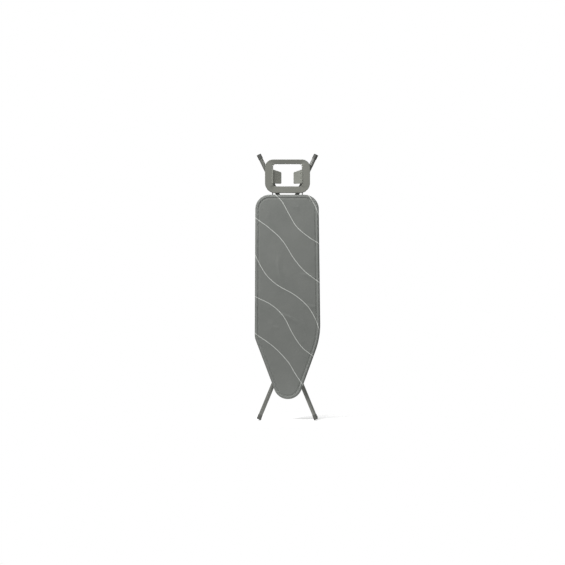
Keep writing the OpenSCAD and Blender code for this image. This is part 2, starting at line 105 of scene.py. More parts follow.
def stretched(circles, arc_step, line_step, counts=None):
    """Points and outward normals round the circles, as a string pulled round them lies.

    counts gives a fixed (arc steps, line steps) instead of spacings, so that two outlines can be matched."""
    points, normals = [], []
    n = len(circles)
    for i, (x, z, radius) in enumerate(circles):
        start = normal_angle(circles[i - 1], circles[i])
        end = normal_angle(circles[i], circles[(i + 1) % n])
        span = (end - start) % TURN
        steps = counts[0] if counts else max(3, round(span * radius / arc_step))
        for k in range(steps):
            a = start + span * k / steps
            normals.append((math.cos(a), math.sin(a)))
            points.append((x + radius * math.cos(a), z + radius * math.sin(a)))
        nx, nz = math.cos(end), math.sin(end)
        tail = (x + radius * nx, z + radius * nz)
        x2, z2, r2 = circles[(i + 1) % n]
        head = (x2 + r2 * nx, z2 + r2 * nz)
        steps = counts[1] if counts else max(1, round(math.dist(tail, head) / line_step))
        for k in range(steps):
            f = k / steps
            normals.append((nx, nz))
            points.append((tail[0] + f * (head[0] - tail[0]), tail[1] + f * (head[1] - tail[1])))
    return np.array(points), np.array(normals)


def side_lengths(points):
    return np.linalg.norm(np.roll(points, -1, 0) - points, axis=1)


def smooth(t):
    """Goes from 0 to 1 with level ends as t goes from 0 to 1."""
    t = np.clip(t, 0, 1)
    return t * t * (3 - 2 * t)


def quarter(steps):
    """Sine and cosine at even steps from 0 to 90 degrees."""
    angles = [math.radians(90 * k / steps) for k in range(steps + 1)]
    return [(math.sin(a), math.cos(a)) for a in angles]


# ---- Meshes ----------------------------------------------------------------------------------------

ROW_HEIGHT = 0.866          # of a row of even triangles, as a share of their spacing
RING_GAP = 0.45             # how far the inner points keep from the ring, as a share of the spacing


def mesh_object(name, vertices, faces, smooth_shaded=True):
    mesh = bpy.data.meshes.new(name)
    mesh.from_pydata([tuple(v) for v in vertices], [], faces)
    mesh.validate()
    mesh.polygons.foreach_set("use_smooth", [smooth_shaded] * len(mesh.polygons))
    obj = bpy.data.objects.new(name, mesh)
    bpy.context.scene.collection.objects.link(obj)
    return obj


@contextmanager
def editing(obj):
    """The object's mesh as a bmesh, written back at the end."""
    bm = bmesh.new()
    bm.from_mesh(obj.data)
    yield bm
    bm.to_mesh(obj.data)
    bm.free()


def turn_forward(bm, faces):
    """Turns the whole mesh inside out if these faces of it look backwards."""
    if sum(f.normal.y for f in faces) > 0:
        bmesh.ops.reverse_faces(bm, faces=bm.faces)


def tidy_normals(obj):
    with editing(obj) as bm:
        bmesh.ops.remove_doubles(bm, verts=bm.verts, dist=1e-6)
        bmesh.ops.recalc_face_normals(bm, faces=bm.faces)


def thicken(obj, thickness):
    """Gives the sheet a thickness, in metres, behind its face."""
    shell = obj.modifiers.new("thickness", "SOLIDIFY")
    shell.thickness = thickness
    shell.offset = -1


def apply_modifiers(obj):
    """Bakes the object's modifiers into its mesh, so that the piece is final."""
    depsgraph = bpy.context.evaluated_depsgraph_get()
    mesh = bpy.data.meshes.new_from_object(obj.evaluated_get(depsgraph))
    old = obj.data
    obj.modifiers.clear()
    obj.data = mesh
    bpy.data.meshes.remove(old)


def ring_faces(rows, count):
    """Quads between neighbouring closed rings of the same number of points."""
    faces = []
    for j in range(rows - 1):
        for i in range(count):
            k = (i + 1) % count
            a, b = j * count, (j + 1) * count
            faces.append((a + i, a + k, b + k, b + i))
    return faces


def fill_inside(ring, spacing):
    """Even triangles inside a closed ring of (x, z): returns the extra points and all faces, ring first."""
    low, high = ring.min(0), ring.max(0)
    edges = np.roll(ring, -1, 0) - ring
    extra = []
    rows = int((high[1] - low[1]) / (spacing * ROW_HEIGHT)) + 1
    for row in range(rows):
        z = low[1] + (row + 0.5) * spacing * ROW_HEIGHT
        x = low[0] + (row % 2) * spacing / 2
        while x < high[0]:
            to_point = np.array([x, z]) - ring
            side = edges[:, 0] * to_point[:, 1] - edges[:, 1] * to_point[:, 0]
            if (side / np.linalg.norm(edges, axis=1)).min() > spacing * RING_GAP:
                extra.append((x, z))
            x += spacing
    points = [Vector(p) for p in ring] + [Vector(p) for p in extra]
    loop = [(i, (i + 1) % len(ring)) for i in range(len(ring))]
    found = delaunay_2d_cdt(points, loop, [], 1, 1e-7)
    assert len(found[0]) == len(points)
    return np.array(extra), [tuple(f) for f in found[2]]


def add_box(bm, low, high, bevel=0):
    """Adds a box with rounded edges to bm."""
    made = bmesh.ops.create_cube(bm, size=1)["verts"]
    centre = (Vector(low) + Vector(high)) / 2
    size = Vector(high) - Vector(low)
    for v in made:
        v.co = centre + Vector((v.co.x * size.x, v.co.y * size.y, v.co.z * size.z))
    if bevel:
        edges = list(dict.fromkeys(e for v in made for e in v.link_edges))
        bmesh.ops.bevel(bm, geom=edges, offset=bevel, segments=3, profile=0.5, affect="EDGES")


def set_attribute(obj, name, kind, field, values):
    """Stores one value or vector for each point, for the cloth's material."""
    attribute = obj.data.attributes.new(name, kind, "POINT")
    attribute.data.foreach_set(field, np.asarray(values, np.float32).ravel())


# ---- Cover -----------------------------------------------------------------------------------------

# The printed waves, each from its left end to its right end, in millimetres across and above the floor
WAVES = [
    [(-191, 515), (-84, 439), (0, 352), (45, 280), (88, 216)],
    [(-191, 733), (-96, 685), (-25, 618), (30, 515), (85, 435), (153, 380)],
    [(-192, 976), (-130, 868), (-60, 802), (41, 744), (119, 676), (165, 600), (188, 539)],
    [(-191, 1198), (-110, 1140), (-31, 1065), (42, 952), (105, 880), (186, 819)],
    [(-66, 1332), (-30, 1290), (10, 1218), (55, 1145), (125, 1085), (186, 1047)],
    [(130, 1325), (150, 1293), (167, 1260), (183, 1222)],
]
WAVE_STEP = 0.006           # metres between the points of a wave's line
WAVE_OVERRUN = 0.160        # metres that a wave runs on past its ends, to wrap over the edge
WAVE_REACH = 0.060          # metres from a wave that add 1 to the wave attribute
WAVE_LIMIT = 0.45           # the most that distance may add, so that rounding still gives the wave's number
CHUNK = 4000                # points measured at once, to save memory

COVER_STEP = 0.0022         # metres between the cover's points round its curves,
COVER_LINE_STEP = 0.0045    # along its straight sides,
MIDDLE_SPACING = 0.0046     # and in its flat middle
CLOTH = 0.0007              # thickness of the cloth, in metres
CREST = (12.5, 0.15)        # inset and depth of the edge bead's crest,
VALLEY = (20.0, 3.3)        # of the hollow inside it,
MIDDLE = (28.5, 1.3)        # and of the start of the flat middle
EDGE_DROP = 8.8             # how far back the face rolls from the crest to the edge
FACE_INSETS = (62, 55, 48, 42, 37, 33.5, 31, 29, 27.5, 26.2, 25, 23.8, 22.6, 21.4, 20.2, 19.1, 18, 17, 16, 15,
               14, 13.2)
SIDE_DEPTHS = (11.2, 13.4, 15.6, 18, 20.5, 23, 25.5, 28, 30)
SIDE_TOP, SIDE_END = 9, 31  # depths between which the side is drawn in,
SIDE_HOLLOW = 0.9           # and how far at its middle
HEM_DEPTH = 33.2            # of the turned-in hem
HEM_RADIUS = 2.4            # of the turn into it
HEM_INSETS = (4.5, 7, 9.5, 12, 14.5, 17, 19.5, 22, 24.5, 27, 29.5, 31.5, 33.2, 34.8, 36)
CREST_BAND = 3.5            # half width of the band along the crest that is painted lighter, a painted highlight

GATHER_SPREAD = 0.018       # metres along the outline over which its bend is evened out
GATHER_RADIUS = 0.085       # a corner of this radius, in metres, is gathered fully
FINE_PUCKER = 0.0105        # metres from one pucker to the next,
BROAD_PUCKER = 0.024        # and between the slower swells under them
CASING_INSET = 32           # of the elastic's casing in the hem,
CASING_WIDTH = 2.6
CASING_HEIGHT = 0.7

# Faint standing folds of the cloth: points along each, and its height in millimetres
FOLDS = [
    ([(-52, 990), (-60, 920), (-44, 850), (-24, 792)], 2.25),
    ([(-45, 632), (8, 616), (70, 574)], 2.5),
    ([(70, 868), (120, 862), (165, 848)], 1.75),
    ([(90, 690), (140, 676), (182, 670)], 2.0),
    ([(-150, 1260), (-120, 1225), (-104, 1180)], 1.75),
    ([(20, 1290), (52, 1262), (62, 1236)], 1.5),
    ([(-110, 585), (-90, 560), (-40, 548)], 1.5),
]
FOLD_STEEP = 0.0065         # metres to the foot of a fold on its upper left,
FOLD_GENTLE = 0.017         # and on its lower right


def face_depth(inset):
    """Depth of the cover's face, from the crest of its edge bead inwards."""
    down = (VALLEY[1] - CREST[1]) * float(smooth((inset - CREST[0]) / (VALLEY[0] - CREST[0])))
    up = (VALLEY[1] - MIDDLE[1]) * float(smooth((inset - VALLEY[0]) / (MIDDLE[0] - VALLEY[0])))
    return CREST[1] + down - up


def spline(points):
    """Smooth line through the points, carried on straight past both ends."""
    p = np.array(points, float) * MM
    first = p[0] - (p[1] - p[0]) / np.linalg.norm(p[1] - p[0]) * WAVE_OVERRUN
    last = p[-1] + (p[-1] - p[-2]) / np.linalg.norm(p[-1] - p[-2]) * WAVE_OVERRUN
    p = np.vstack([first, p, last])
    p = np.vstack([2 * p[0] - p[1], p, 2 * p[-1] - p[-2]])
    out = []
    for i in range(1, len(p) - 2):
        a, b, c, d = p[i - 1 : i + 3]
        steps = max(2, round(np.linalg.norm(c - b) / WAVE_STEP))
        for k in range(steps):
            t = k / steps
            square, cube = 2 * a - 5 * b + 4 * c - d, 3 * b - a - 3 * c + d
            out.append(0.5 * (2 * b + (c - a) * t + square * t**2 + cube * t**3))
    out.append(p[-2])
    return np.array(out)


def nearest_on(line, points):
    """For each point: the line's nearest segment, how far along it as a share, and the gap and distance."""
    start, along = line[:-1], line[1:] - line[:-1]
    t = np.clip(((points[:, None] - start) * along).sum(2) / (along**2).sum(1), 0, 1)
    gap = points[:, None] - (start + t[..., None] * along)
    distance = np.linalg.norm(gap, axis=2)
    nearest = distance.argmin(1)
    rows = np.arange(len(points))
    return nearest, t[rows, nearest], gap[rows, nearest], distance[rows, nearest]


def wave_field(flat):
    """For each point of the flat cloth, the number of its nearest wave plus its signed distance from it."""
    best = np.full(len(flat), np.inf)
    field = np.zeros(len(flat))
    for number, wave in enumerate(WAVES, 1):
        line = spline(wave)
        for first in range(0, len(flat), CHUNK):
            part = flat[first : first + CHUNK]
            nearest, _, gap, distance = nearest_on(line, part)
            along = (line[1:] - line[:-1])[nearest]
            signed = np.sign(along[:, 0] * gap[:, 1] - along[:, 1] * gap[:, 0]) * distance
            closer = distance < best[first : first + CHUNK]
            changed = np.arange(first, first + len(part))[closer]
            best[changed] = distance[closer]
            field[changed] = number + np.clip(signed[closer] / WAVE_REACH, -WAVE_LIMIT, WAVE_LIMIT)
    return field


def cover_stations():
    """(inset, depth) of the cloth's outer face, from its middle over the edge to the end of the hem."""
    out = [(inset, face_depth(inset)) for inset in FACE_INSETS]
    out += [(CREST[0] * (1 - s), CREST[1] + EDGE_DROP * (1 - c)) for s, c in quarter(10)]
    for depth in SIDE_DEPTHS:
        drawn_in = math.sin(math.pi * (depth - SIDE_TOP) / (SIDE_END - SIDE_TOP))
        out.append((SIDE_HOLLOW * drawn_in, depth))
    out += [(HEM_RADIUS * (1 - c), HEM_DEPTH - HEM_RADIUS * (1 - s)) for s, c in quarter(4)[1:]]
    out += [(inset, HEM_DEPTH) for inset in HEM_INSETS]
    return np.array(out)


def gathering(points, normals):
    """How strongly the hem is gathered at each point of the outline: its bend, evened out."""
    following = np.roll(normals, -1, 0)
    turn = np.arctan2(normals[:, 0] * following[:, 1] - normals[:, 1] * following[:, 0],
                      (normals * following).sum(1))
    length = side_lengths(points)
    along = np.concatenate([[0], np.cumsum(length)[:-1]])
    total = length.sum()
    gap = np.abs(along[:, None] - along[None, :])
    gap = np.minimum(gap, total - gap)
    weight = np.exp(-((gap / GATHER_SPREAD) ** 2)) * length[None, :]
    bend = (weight * (turn / length)[None, :]).sum(1) / weight.sum(1)
    return np.clip(bend * GATHER_RADIUS, 0, 1), along, total


def puckers(along, total, wavelength, seed):
    """A wave of uneven length and height round the outline, from -1.6 to 1.6, that meets itself."""
    rng = np.random.default_rng(seed)
    phase = TURN * round(total / wavelength) * along / total
    height = np.ones(len(along))
    for k in (3, 7, 13, 21, 34):
        shift, swing = rng.uniform(0, TURN, 2)
        phase = phase + rng.uniform(0.5, 1.1) * np.sin(TURN * k * along / total + shift)
        height = height + rng.uniform(0.08, 0.2) * np.sin(TURN * (k * 3 + 1) * along / total + swing)
    return np.sin(phase) * np.clip(height, 0.3, 1.6)


def pucker(inset, depth, out, gather, fine, broad):
    """Puckers one ring of the cover: a little on the face, more down the side, most on the hem.

    out is the ring's distance from the outline on the flat cloth, in millimetres, and below 0 on the face.
    Each smooth() begins at its first number and is full after its second, in millimetres like the heights."""
    inset = np.full(len(gather), inset)
    depth = np.full(len(gather), depth)
    if out < 0:
        near_edge = smooth((26 - inset) / 20)
        depth = depth + near_edge * gather * (0.55 * broad + 0.15 * fine)
    else:
        down = smooth((depth - 6) / 24)
        on_side = 1 - smooth((depth - 31) / 2)
        inset = inset + on_side * down * (0.1 + gather) * (0.75 * fine + 0.5 * broad)
    if out > 25:
        behind = smooth((inset - 2) / 16)
        casing = CASING_HEIGHT * np.exp(-(((inset - CASING_INSET) / CASING_WIDTH) ** 2))
        full = np.clip(gather * 1.15, 0, 1)
        depth = depth + behind * full * (1.5 + 1.4 * fine + 0.5 * broad) + casing * full
        depth = depth + behind * (1 - full) * (0.16 + 0.16 * fine)
    return inset, depth


def front_relief(x, z):
    """Depth added to the flat face by slack in the cloth: soft hollows and a few faint standing folds."""
    depth = 0.35 * np.sin(x * 21 + 1.3 * np.sin(z * 9)) * np.sin(z * 14 + 0.8 * np.sin(x * 17 + 1))
    depth += 0.16 * np.sin(x * 47 + z * 31 + 2) * np.sin(z * 39 - x * 22)
    points = np.stack([x, z], 1)
    for route, height in FOLDS:
        route = np.array(route, float) * MM
        nearest, t, gap, distance = nearest_on(route, points)
        where = (t + nearest) / (len(route) - 1)
        width = np.where(gap[:, 1] - gap[:, 0] > 0, FOLD_STEEP, FOLD_GENTLE)
        fading = np.sin(np.pi * np.clip(where, 0.02, 0.98)) ** 0.6
        depth -= height * np.exp(-((distance / width) ** 2)) * fading
    return depth


def flat_size(points, hem):
    """Size and area of the cover laid flat: the outline grown by the cloth that goes round to its hem."""
    following = np.roll(points, -1, 0)
    inside = 0.5 * abs((points[:, 0] * following[:, 1] - points[:, 1] * following[:, 0]).sum())
    area = inside + side_lengths(points).sum() * hem + math.pi * hem**2
    size = points.max(0) - points.min(0) + 2 * hem
    return (float(size[0]), float(size[1])), float(area)


def build_cover():
    points, normals = stretched(DECK, COVER_STEP, COVER_LINE_STEP)
    count = len(points)
    stations = cover_stations()
    gather, along, total = gathering(points, normals)
    fine = puckers(along, total, FINE_PUCKER, seed=3)
    broad = puckers(along, total, BROAD_PUCKER, seed=5)

    steps = np.linalg.norm(np.diff(stations, axis=0), axis=1)
    beyond = -stations[0, 0] + np.concatenate([[0], np.cumsum(steps)])
    rows, flat = [], []
    for (inset, depth), out in zip(stations, beyond):
        inset, depth = pucker(inset, depth, out, gather, fine, broad)
        ring = points - normals * inset[:, None] * MM
        rows.append(np.stack([ring[:, 0], depth, ring[:, 1]], 1))
        flat.append(points + normals * out * MM)

    middle, middle_faces = fill_inside(rows[0][:, [0, 2]], MIDDLE_SPACING)
    middle_rows = np.stack([middle[:, 0], np.full(len(middle), MIDDLE[1]), middle[:, 1]], 1)
    ringed = count * len(rows)
    vertices = np.vstack(rows + [middle_rows])
    flat = np.vstack(flat + [middle])
    relief = np.ones(len(vertices))
    relief[:ringed] = np.repeat([float(smooth(-(out + 8) / 14)) for out in beyond], count)
    face = np.concatenate([np.arange(count * int((beyond < 0).sum())), np.arange(ringed, len(vertices))])
    vertices[face, 1] += relief[face] * front_relief(vertices[face, 0], vertices[face, 2])
    vertices[:, 1] = FRONT + vertices[:, 1] * MM

    renumber = list(range(count)) + list(range(ringed, len(vertices)))
    faces = ring_faces(len(rows), count)
    faces += [tuple(renumber[v] for v in f) for f in middle_faces]
    obj = mesh_object("cover_cloth", vertices, faces)
    with editing(obj) as bm:
        bmesh.ops.recalc_face_normals(bm, faces=bm.faces)
        turn_forward(bm, [f for f in bm.faces if f.calc_center_median().y < FRONT + 3 * MM])
    set_attribute(obj, "flat_cloth", "FLOAT_VECTOR", "vector", np.column_stack([flat, np.zeros(len(flat))]))
    set_attribute(obj, "wave", "FLOAT", "value", wave_field(flat))
    # Band along the edge bead's crest that the cloth's material paints lighter, a painted highlight
    crest = np.exp(-(((stations[:, 0] - CREST[0]) / CREST_BAND) ** 2))
    crest = np.concatenate([np.repeat(crest, count), np.zeros(len(middle))])
    set_attribute(obj, "crest", "FLOAT", "value", crest)
    thicken(obj, CLOTH)
    apply_modifiers(obj)
    return obj, *flat_size(points, beyond[-1] * MM)


# ---- Padding and deck ------------------------------------------------------------------------------

PAD_STEP = 0.006            # metres between the felt's points round its curves,
PAD_LINE_STEP = 0.012       # along its straight sides,
PAD_SPACING = 0.016         # and in its middle
PAD_GAP = 1.3               # between the cover's outer face and the felt
PAD_BACK = 8.95             # depth of the felt's back
DECK_FACE, DECK_BACK = 9.05, 10.15      # depths of the expanded sheet
DECK_INSET = 14
CELL_WIDTH, CELL_HEIGHT = 0.026, 0.012  # of a diamond, in metres
HOLE_WIDTH, HOLE_HEIGHT = 0.74, 0.64    # of its hole, as shares of the cell
CELL_MERGE = 2e-5           # metres within which the corners of neighbouring cells are joined


def build_padding():
    """Felt under the cloth: its face follows the cover's, its back lies on the deck."""
    points, normals = stretched(DECK, PAD_STEP, PAD_LINE_STEP)
    count = len(points)
    stations = [(inset, face_depth(inset) + PAD_GAP) for inset in (62, 33, 29, 26.5, 24, 22, 20, 18, 16, 14)]
    stations += [(PAD_GAP + (CREST[0] - PAD_GAP) * (1 - s),
                  CREST[1] + PAD_GAP + (EDGE_DROP - PAD_GAP) * (1 - c)) for s, c in quarter(7)]
    stations += [(inset, PAD_BACK) for inset in (6, 30, 62)]
    rows = []
    for inset, depth in stations:
        ring = points - normals * inset * MM
        rows.append(np.stack([ring[:, 0], np.full(count, FRONT + depth * MM), ring[:, 1]], 1))
    vertices, faces = list(np.vstack(rows)), ring_faces(len(rows), count)
    for row, depth in ((0, stations[0][1]), (len(rows) - 1, stations[-1][1])):
        extra, found = fill_inside(rows[row][:, [0, 2]], PAD_SPACING)
        numbers = list(range(row * count, (row + 1) * count))
        numbers += list(range(len(vertices), len(vertices) + len(extra)))
        vertices += [(x, FRONT + depth * MM, z) for x, z in extra]
        faces += [tuple(numbers[v] for v in f) for f in found]
    obj = mesh_object("felt_padding", vertices, faces)
    tidy_normals(obj)
    return obj


def build_mesh_deck():
    """Expanded metal: a plate of diamond cells, each with a diamond hole."""
    ring, normals = stretched(DECK, 0.02, 0.03)
    ring = ring - normals * (DECK_INSET * MM)
    edges = np.roll(ring, -1, 0) - ring
    low, high = ring.min(0), ring.max(0)
    columns = int(high[0] / CELL_WIDTH) + 2
    vertices, faces = [], []
    for row in range(int((high[1] - low[1]) / (CELL_HEIGHT / 2))):
        z = low[1] + row * CELL_HEIGHT / 2
        for column in range(-columns, columns + 1):
            x = (column + (row % 2) / 2) * CELL_WIDTH
            gap = np.array([x, z]) - ring
            if (edges[:, 0] * gap[:, 1] - edges[:, 1] * gap[:, 0]).min() < 0:
                continue
            outer = [(x + CELL_WIDTH / 2, z), (x, z + CELL_HEIGHT / 2), (x - CELL_WIDTH / 2, z),
                     (x, z - CELL_HEIGHT / 2)]
            inner = [(x + (p - x) * HOLE_WIDTH, z + (q - z) * HOLE_HEIGHT) for p, q in outer]
            start = len(vertices)
            for depth in (DECK_FACE, DECK_BACK):
                vertices += [(p, FRONT + depth * MM, q) for p, q in outer + inner]
            for i in range(4):
                k = (i + 1) % 4
                faces.append((start + i, start + k, start + 4 + k, start + 4 + i))
                faces.append((start + 8 + k, start + 8 + i, start + 12 + i, start + 12 + k))
                faces.append((start + 4 + i, start + 4 + k, start + 12 + k, start + 12 + i))
    obj = mesh_object("expanded_deck", vertices, faces, smooth_shaded=False)
    with editing(obj) as bm:
        bmesh.ops.remove_doubles(bm, verts=bm.verts, dist=CELL_MERGE)
        bmesh.ops.bridge_loops(bm, edges=[e for e in bm.edges if e.is_boundary])
        bmesh.ops.recalc_face_normals(bm, faces=bm.faces)
    return obj


# ---- Iron rest -------------------------------------------------------------------------------------

REST_FRONT = 4.0            # depth of the ring's face at its outer edge,
REST_BACK = 28.0            # and of the rear edge of its walls
REST_DISH = 4.4             # how far the upper and lower bars sink from their outer edge to the opening
SIDE_DISH = 0.18            # share of it that the side bars have
REST_EDGE = 2.2             # radius of the ring's edges
REST_WALL = 2.4
REST_STEPS = (14, 22)       # steps round each corner and along each side
OUTER_MIDWAY = 20.0         # depths of a ring of points midway down the outer wall,
WALL_MIDWAY = 18.0          # and down the others
RIB_HALF = 0.8              # half the thickness of a rib
SIDE_RIB_GAP = 1.6          # from the ring's face to the front of the side bars' ribs,
BAR_RIB_GAP = 3.6           # and how much deeper those of the dished bars start
RIB_BACK = 22.0
BAR_RIBS = (-60, -36, -12, 12, 36, 60)          # x of the ribs in the upper and lower bars,
SIDE_RIBS = (1404, 1444, 1492)                  # and z of those in the side bars
ROD_X = 88.0
ROD_BOSS = ((9.2, 42.3), (1351, 1383), 7, 1.6)  # depths, heights, half width and edge radius
SCREW_X = 96.0
SCREW_Z = (1420.0, 1468.0)
SCREW_BOSS = (4.5, 21, 17.4)                    # radius, length and middle depth

WING_LOW = 1400.6           # heights of the wing's lower edge,
WING_HIGH = 1484.0          # of its upper edge at the root,
WING_TIP = 1469             # and of that edge at its free end
WING_FREE = 35.6            # x of the free edge
WING_CORNER = 5.0
WING_SHEET = 0.0022         # its thickness, in metres
# (x, depth) of the wing's face, from the bead along its root to the free edge
WING_ROUTE = [(92.6, 5.4), (92.0, 4.7), (90.6, 3.6), (88.8, 2.7), (87.0, 2.4), (85.2, 2.7), (83.8, 3.6),
              (82.6, 4.9), (81.0, 6.6), (78.6, 8.6), (75.0, 10.8), (68.0, 13.7), (60.0, 17.0), (52.0, 20.3),
              (45.0, 23.1), (41.0, 24.8), (38.4, 25.9), (36.8, 26.8), (WING_FREE, 27.9)]
WING_ROWS = 16
WING_HOLLOW = 0.9           # how far the wing's face is dished
WING_EDGE = 0.0008          # width of its softened edges, in metres
WING_WEB = ((82.5, 84.95), (7.4, 30.0))         # x and depths of the web behind the wing's root,
WING_FLANGE = ((82.5, 102.0), (28.05, 30.0))    # and of the flange that is screwed to the ring
WING_RIBS = (1418, 1442, 1466)
WING_RIB_TIP = (50, 22.4, 25.0)                 # x, front depth and back depth of a rib at its thin end,
WING_RIB_ROOT = (83, 9.4, 29.0)                 # and at the web
WING_RIB = 1.6


def ring_stations():
    """Round the section of the ring's wall: (outline, inset or share, depth, share of the dish).

    "out" and "in" are insets from the outside and the opening, "mix" is a share of the way between them."""
    shares = (0.05, 0.12, 0.2, 0.35, 0.5, 0.75)
    under = REST_FRONT + REST_WALL
    turn = [(REST_EDGE * (1 - c), REST_FRONT + REST_EDGE * (1 - s)) for s, c in quarter(7)]
    below_turn = REST_FRONT + REST_EDGE + 1
    out = [("out", 0.0, REST_BACK, 0), ("out", 0.0, OUTER_MIDWAY, 0), ("out", 0.0, below_turn, 0)]
    out += [("out", inset, depth, 0) for inset, depth in turn]
    out += [("mix", share, REST_FRONT, share) for share in shares]
    out += [("in", inset, depth, 1) for inset, depth in reversed(turn)]
    out += [("in", 0.0, below_turn, 1), ("in", 0.0, WALL_MIDWAY, 0), ("in", 0.0, REST_BACK, 0)]
    out += [("in", REST_WALL, REST_BACK, 0), ("in", REST_WALL, WALL_MIDWAY, 0)]
    out += [("in", REST_WALL, under + 2.0, 1), ("in", REST_WALL + 0.8, under + 0.7, 1)]
    out += [("mix", share, under + 0.2, share) for share in reversed(shares)]
    out += [("out", REST_WALL + 0.8, under + 0.7, 0), ("out", REST_WALL, under + 2.0, 0)]
    return out + [("out", REST_WALL, WALL_MIDWAY, 0), ("out", REST_WALL, REST_BACK, 0)]


def add_rest_details(bm):
    """Ribs, rod sockets and screw bosses on the back of the ring."""
    wall, rib = REST_WALL * MM, RIB_HALF * MM
    front, back = FRONT + (REST_FRONT + SIDE_RIB_GAP) * MM, FRONT + RIB_BACK * MM
    sunk = front + BAR_RIB_GAP * MM
    bars = ((REST_LOW + wall, OPENING_LOW - wall), (OPENING_HIGH + wall, REST_HIGH - wall))
    for x in BAR_RIBS:
        for low, high in bars:
            add_box(bm, (x * MM - rib, sunk, low), (x * MM + rib, back, high))
    depths, heights, half, edge = ROD_BOSS
    radius, length, middle = SCREW_BOSS
    for side in (-1, 1):
        near, far = sorted((side * (OPENING_HALF + wall), side * (REST_HALF - wall)))
        for z in SIDE_RIBS:
            add_box(bm, (near, front, z * MM - rib), (far, back, z * MM + rib))
        x = side * ROD_X * MM
        add_box(bm, (x - half * MM, FRONT + depths[0] * MM, heights[0] * MM),
                (x + half * MM, FRONT + depths[1] * MM, heights[1] * MM), edge * MM)
        for z in SCREW_Z:
            made = bmesh.ops.create_cone(bm, cap_ends=True, segments=24, radius1=radius * MM,
                                         radius2=radius * MM, depth=length * MM)["verts"]
            for v in made:
                v.co = Vector((v.co.x + side * SCREW_X * MM, v.co.z + FRONT + middle * MM, v.co.y + z * MM))


def build_rest_ring():
    """Moulded ring: a dished face with rounded edges, thin walls, and an open ribbed back."""
    outside = corner_circles(REST_HALF, REST_LOW, REST_HIGH, REST_LOW_RADIUS, REST_HIGH_RADIUS)
    opening = corner_circles(OPENING_HALF, OPENING_LOW, OPENING_HIGH, OPENING_RADIUS, OPENING_RADIUS)
    outer, normals = stretched(outside, 0, 0, REST_STEPS)
    inner, _ = stretched(opening, 0, 0, REST_STEPS)
    # 1 on the upper and lower bars and SIDE_DISH on the side bars, eased round the corners
    level = SIDE_DISH + (1 - SIDE_DISH) * smooth((np.abs(normals[:, 1]) - 0.35) / 0.6)
    edge = normals * REST_EDGE * MM
    rows = []
    for kind, inset, depth, sunk in ring_stations():
        if kind == "out":
            p = outer - normals * inset * MM
        elif kind == "in":
            p = inner + normals * inset * MM
        else:
            p = (outer - edge) * (1 - inset) + (inner + edge) * inset
        rows.append(np.stack([p[:, 0], FRONT + (depth + REST_DISH * sunk * level) * MM, p[:, 1]], 1))
    count = len(outer)
    faces = ring_faces(len(rows), count)
    last = (len(rows) - 1) * count
    faces += [(last + i, last + (i + 1) % count, (i + 1) % count, i) for i in range(count)]
    obj = mesh_object("rest_ring", np.vstack(rows), faces)
    tidy_normals(obj)
    with editing(obj) as bm:
        add_rest_details(bm)
    return obj


def add_wing_details(bm, side):
    """Web, flange and three tapered ribs behind the wing."""
    for (x0, x1), (front, back) in (WING_WEB, WING_FLANGE):
        near, far = sorted((side * x0 * MM, side * x1 * MM))
        add_box(bm, (near, FRONT + front * MM, WING_LOW * MM),
                (far, FRONT + back * MM, WING_HIGH * MM), 0.6 * MM)
    for z in WING_RIBS:
        for v in bmesh.ops.create_cube(bm, size=1)["verts"]:
            x, front, back = WING_RIB_ROOT if (v.co.x > 0) == (side > 0) else WING_RIB_TIP
            depth = back if v.co.y > 0 else front
            v.co = Vector((side * x * MM, FRONT + depth * MM, z * MM + v.co.z * WING_RIB * MM))


def build_wing(side, word):
    """Wing that slopes back from the opening's edge, with a web and a flange behind the frame."""
    vertices, faces = [], []
    for x, depth in WING_ROUTE:
        off = max(0.0, WING_CORNER - (x - WING_FREE))
        cut = WING_CORNER - math.sqrt(max(0.0, WING_CORNER**2 - off**2))
        slope = min(1.0, (x - WING_FREE) / (OPENING_HALF / MM - WING_FREE))
        low = WING_LOW + cut
        high = WING_TIP + (WING_HIGH - WING_TIP) * slope - cut
        for k in range(WING_ROWS + 1):
            z = low + (high - low) * k / WING_ROWS
            hollow = WING_HOLLOW * math.sin(math.pi * k / WING_ROWS) * math.sin(math.pi * min(1, slope * 1.2))
            vertices.append((side * x * MM, FRONT + (depth + hollow) * MM, z * MM))
    for j in range(len(WING_ROUTE) - 1):
        for k in range(WING_ROWS):
            a, b = j * (WING_ROWS + 1) + k, (j + 1) * (WING_ROWS + 1) + k
            faces.append((a, a + 1, b + 1, b) if side > 0 else (a, b, b + 1, a + 1))
    obj = mesh_object("rest_wing_moulding_" + word, vertices, faces)
    with editing(obj) as bm:
        turn_forward(bm, bm.faces)
    thicken(obj, WING_SHEET)
    soften = obj.modifiers.new("edges", "BEVEL")
    soften.width = WING_EDGE
    soften.segments = 2
    soften.limit_method = "ANGLE"
    soften.angle_limit = math.radians(50)
    apply_modifiers(obj)
    with editing(obj) as bm:
        add_wing_details(bm, side)
    return obj


# ---- Feet ------------------------------------------------------------------------------------------

LEG_DEPTH = 55.0            # of the legs' middle plane
# Middle of each pair's ends in millimetres, their splay in degrees, and which way they point
UPPER = {"x": 170.5, "z": 1576.0, "splay": 25.6, "up": 1}
LOWER = {"x": 170.5, "z": 4.38, "splay": 22.4, "up": -1}
CAP_RADIUS = 13.5
CAP_ROUNDING = 2.5
CAP_POINTS = 56             # points round the cap
GROOVES = (-16.5, -12.5, -8.5)
GROOVE = [(13.5, -0.9), (13.4, -0.6), (13.1, -0.3), (13.1, 0.3), (13.4, 0.6), (13.5, 0.9)]


